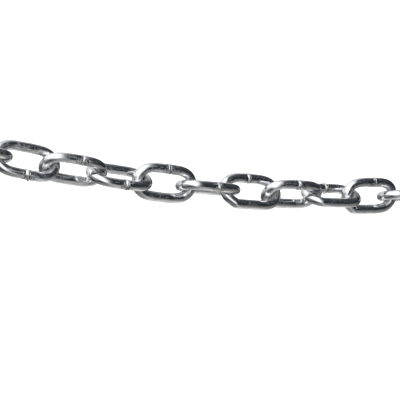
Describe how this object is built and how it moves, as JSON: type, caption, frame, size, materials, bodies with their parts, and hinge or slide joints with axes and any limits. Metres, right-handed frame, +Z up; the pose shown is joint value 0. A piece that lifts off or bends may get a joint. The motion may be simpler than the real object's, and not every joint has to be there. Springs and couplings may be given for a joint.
{
  "type": "length of steel chain",
  "caption": "Length of zinc-plated welded steel chain, laid straight but for a gentle bend, each link turned on from the one before; hinged link by link.",
  "frame": {"origin": "middle of the laid chain's footprint, on the floor", "axes": "+X along the laid chain, +Y to the side that both ends bend towards, +Z up"},
  "size_m": [0.94, 0.1394, 0.0235],
  "materials": {
    "zinc_plated_steel": "bright zinc plating on drawn wire, polished and faintly mottled, with a raised weld across one bar of each link"
  },
  "bodies": {
    "link_01": {"link_01": "zinc_plated_steel"},
    "link_02": {"link_02": "zinc_plated_steel"},
    "link_03": {"link_03": "zinc_plated_steel"},
    "link_04": {"link_04": "zinc_plated_steel"},
    "link_05": {"link_05": "zinc_plated_steel"},
    "link_06": {"link_06": "zinc_plated_steel"},
    "link_07": {"link_07": "zinc_plated_steel"},
    "link_08": {"link_08": "zinc_plated_steel"},
    "link_09": {"link_09": "zinc_plated_steel"},
    "link_10": {"link_10": "zinc_plated_steel"},
    "link_11": {"link_11": "zinc_plated_steel"},
    "link_12": {"link_12": "zinc_plated_steel"},
    "link_13": {"link_13": "zinc_plated_steel"},
    "link_14": {"link_14": "zinc_plated_steel"},
    "link_15": {"link_15": "zinc_plated_steel"},
    "link_16": {"link_16": "zinc_plated_steel"},
    "link_17": {"link_17": "zinc_plated_steel"},
    "link_18": {"link_18": "zinc_plated_steel"},
    "link_19": {"link_19": "zinc_plated_steel"},
    "link_20": {"link_20": "zinc_plated_steel"},
    "link_21": {"link_21": "zinc_plated_steel"},
    "link_22": {"link_22": "zinc_plated_steel"},
    "link_23": {"link_23": "zinc_plated_steel"},
    "link_24": {"link_24": "zinc_plated_steel"},
    "link_25": {"link_25": "zinc_plated_steel"},
    "link_26": {"link_26": "zinc_plated_steel"},
    "link_27": {"link_27": "zinc_plated_steel"},
    "link_28": {"link_28": "zinc_plated_steel"},
    "link_29": {"link_29": "zinc_plated_steel"},
    "link_30": {"link_30": "zinc_plated_steel"},
    "link_31": {"link_31": "zinc_plated_steel"},
    "link_32": {"link_32": "zinc_plated_steel"},
    "link_33": {"link_33": "zinc_plated_steel"}
  },
  "joints": [
    {"name": "swing_02", "type": "hinge", "parent": "link_01", "child": "link_02", "pos_m": [-0.43436, 0.04539, 0.01175], "axis": [-0.3578, -0.7256, -0.5878], "range_deg": [-90, 90]},
    {"name": "swing_03", "type": "hinge", "parent": "link_02", "child": "link_03", "pos_m": [-0.40804, 0.03253, 0.01175], "axis": [0.1281, 0.2812, -0.9511], "range_deg": [-90, 90]},
    {"name": "swing_04", "type": "hinge", "parent": "link_03", "child": "link_04", "pos_m": [-0.38133, 0.02047, 0.01175], "axis": [0.3867, 0.9222, 0], "range_deg": [-90, 90]},
    {"name": "swing_05", "type": "hinge", "parent": "link_04", "child": "link_05", "pos_m": [-0.35426, 0.00924, 0.01175], "axis": [0.1107, 0.2885, 0.9511], "range_deg": [-90, 90]},
    {"name": "swing_06", "type": "hinge", "parent": "link_05", "child": "link_06", "pos_m": [-0.32687, -0.00116, 0.01175], "axis": [-0.2667, -0.7638, 0.5878], "range_deg": [-90, 90]},
    {"name": "swing_07", "type": "hinge", "parent": "link_06", "child": "link_07", "pos_m": [-0.29917, -0.01071, 0.01175], "axis": [-0.2433, -0.7716, -0.5878], "range_deg": [-90, 90]},
    {"name": "swing_08", "type": "hinge", "parent": "link_07", "child": "link_08", "pos_m": [-0.27119, -0.01942, 0.01175], "axis": [0.0839, 0.2974, -0.9511], "range_deg": [-90, 90]},
    {"name": "swing_09", "type": "hinge", "parent": "link_08", "child": "link_09", "pos_m": [-0.24296, -0.02727, 0.01175], "axis": [0.2419, 0.9703, 0], "range_deg": [-90, 90]},
    {"name": "swing_10", "type": "hinge", "parent": "link_09", "child": "link_10", "pos_m": [-0.2145, -0.03426, 0.01175], "axis": [0.0656, 0.302, 0.9511], "range_deg": [-90, 90]},
    {"name": "swing_11", "type": "hinge", "parent": "link_10", "child": "link_11", "pos_m": [-0.18585, -0.04037, 0.01175], "axis": [-0.1474, -0.7955, 0.5878], "range_deg": [-90, 90]},
    {"name": "swing_12", "type": "hinge", "parent": "link_11", "child": "link_12", "pos_m": [-0.15702, -0.0456, 0.01175], "axis": [-0.1231, -0.7996, -0.5878], "range_deg": [-90, 90]},
    {"name": "swing_13", "type": "hinge", "parent": "link_12", "child": "link_13", "pos_m": [-0.12804, -0.04995, 0.01175], "axis": [0.0377, 0.3067, -0.9511], "range_deg": [-90, 90]},
    {"name": "swing_14", "type": "hinge", "parent": "link_13", "child": "link_14", "pos_m": [-0.09894, -0.05341, 0.01175], "axis": [0.0915, 0.9958, 0], "range_deg": [-90, 90]},
    {"name": "swing_15", "type": "hinge", "parent": "link_14", "child": "link_15", "pos_m": [-0.06975, -0.05599, 0.01175], "axis": [0.0189, 0.3084, 0.9511], "range_deg": [-90, 90]},
    {"name": "swing_16", "type": "hinge", "parent": "link_15", "child": "link_16", "pos_m": [-0.0405, -0.05767, 0.01175], "axis": [-0.0247, -0.8086, 0.5878], "range_deg": [-90, 90]},
    {"name": "swing_17", "type": "hinge", "parent": "link_16", "child": "link_17", "pos_m": [-0.01121, -0.05845, 0.01175], "axis": [0, -0.809, -0.5878], "range_deg": [-90, 90]},
    {"name": "swing_18", "type": "hinge", "parent": "link_17", "child": "link_18", "pos_m": [0.01809, -0.05835, 0.01175], "axis": [-0.0094, 0.3089, -0.9511], "range_deg": [-90, 90]},
    {"name": "swing_19", "type": "hinge", "parent": "link_18", "child": "link_19", "pos_m": [0.04738, -0.05734, 0.01175], "axis": [-0.061, 0.9981, 0], "range_deg": [-90, 90]},
    {"name": "swing_20", "type": "hinge", "parent": "link_19", "child": "link_20", "pos_m": [0.07662, -0.05544, 0.01175], "axis": [-0.0283, 0.3077, 0.9511], "range_deg": [-90, 90]},
    {"name": "swing_21", "type": "hinge", "parent": "link_20", "child": "link_21", "pos_m": [0.10579, -0.05266, 0.01175], "axis": [0.0986, -0.803, 0.5878], "range_deg": [-90, 90]},
    {"name": "swing_22", "type": "hinge", "parent": "link_21", "child": "link_22", "pos_m": [0.13486, -0.04898, 0.01175], "axis": [0.1231, -0.7996, -0.5878], "range_deg": [-90, 90]},
    {"name": "swing_23", "type": "hinge", "parent": "link_22", "child": "link_23", "pos_m": [0.1638, -0.04441, 0.01175], "axis": [-0.0563, 0.3038, -0.9511], "range_deg": [-90, 90]},
    {"name": "swing_24", "type": "hinge", "parent": "link_23", "child": "link_24", "pos_m": [0.19259, -0.03897, 0.01175], "axis": [-0.2122, 0.9772, 0], "range_deg": [-90, 90]},
    {"name": "swing_25", "type": "hinge", "parent": "link_24", "child": "link_25", "pos_m": [0.2212, -0.03264, 0.01175], "axis": [-0.0748, 0.2998, 0.9511], "range_deg": [-90, 90]},
    {"name": "swing_26", "type": "hinge", "parent": "link_25", "child": "link_26", "pos_m": [0.24961, -0.02545, 0.01175], "axis": [0.2196, -0.7786, 0.5878], "range_deg": [-90, 90]},
    {"name": "swing_27", "type": "hinge", "parent": "link_26", "child": "link_27", "pos_m": [0.27778, -0.01739, 0.01175], "axis": [0.2433, -0.7716, -0.5878], "range_deg": [-90, 90]},
    {"name": "swing_28", "type": "hinge", "parent": "link_27", "child": "link_28", "pos_m": [0.30569, -0.00848, 0.01175], "axis": [-0.1019, 0.2917, -0.9511], "range_deg": [-90, 90]},
    {"name": "swing_29", "type": "hinge", "parent": "link_28", "child": "link_29", "pos_m": [0.33332, 0.00129, 0.01175], "axis": [-0.3584, 0.9336, 0], "range_deg": [-90, 90]},
    {"name": "swing_30", "type": "hinge", "parent": "link_29", "child": "link_30", "pos_m": [0.36064, 0.01189, 0.01175], "axis": [-0.1195, 0.285, 0.9511], "range_deg": [-90, 90]},
    {"name": "swing_31", "type": "hinge", "parent": "link_30", "child": "link_31", "pos_m": [0.38762, 0.02332, 0.01175], "axis": [0.3355, -0.7362, 0.5878], "range_deg": [-90, 90]},
    {"name": "swing_32", "type": "hinge", "parent": "link_31", "child": "link_32", "pos_m": [0.41424, 0.03557, 0.01175], "axis": [0.3578, -0.7256, -0.5878], "range_deg": [-90, 90]},
    {"name": "swing_33", "type": "hinge", "parent": "link_32", "child": "link_33", "pos_m": [0.44047, 0.04863, 0.01175], "axis": [-0.1451, 0.2728, -0.9511], "range_deg": [-90, 90]}
  ]
}
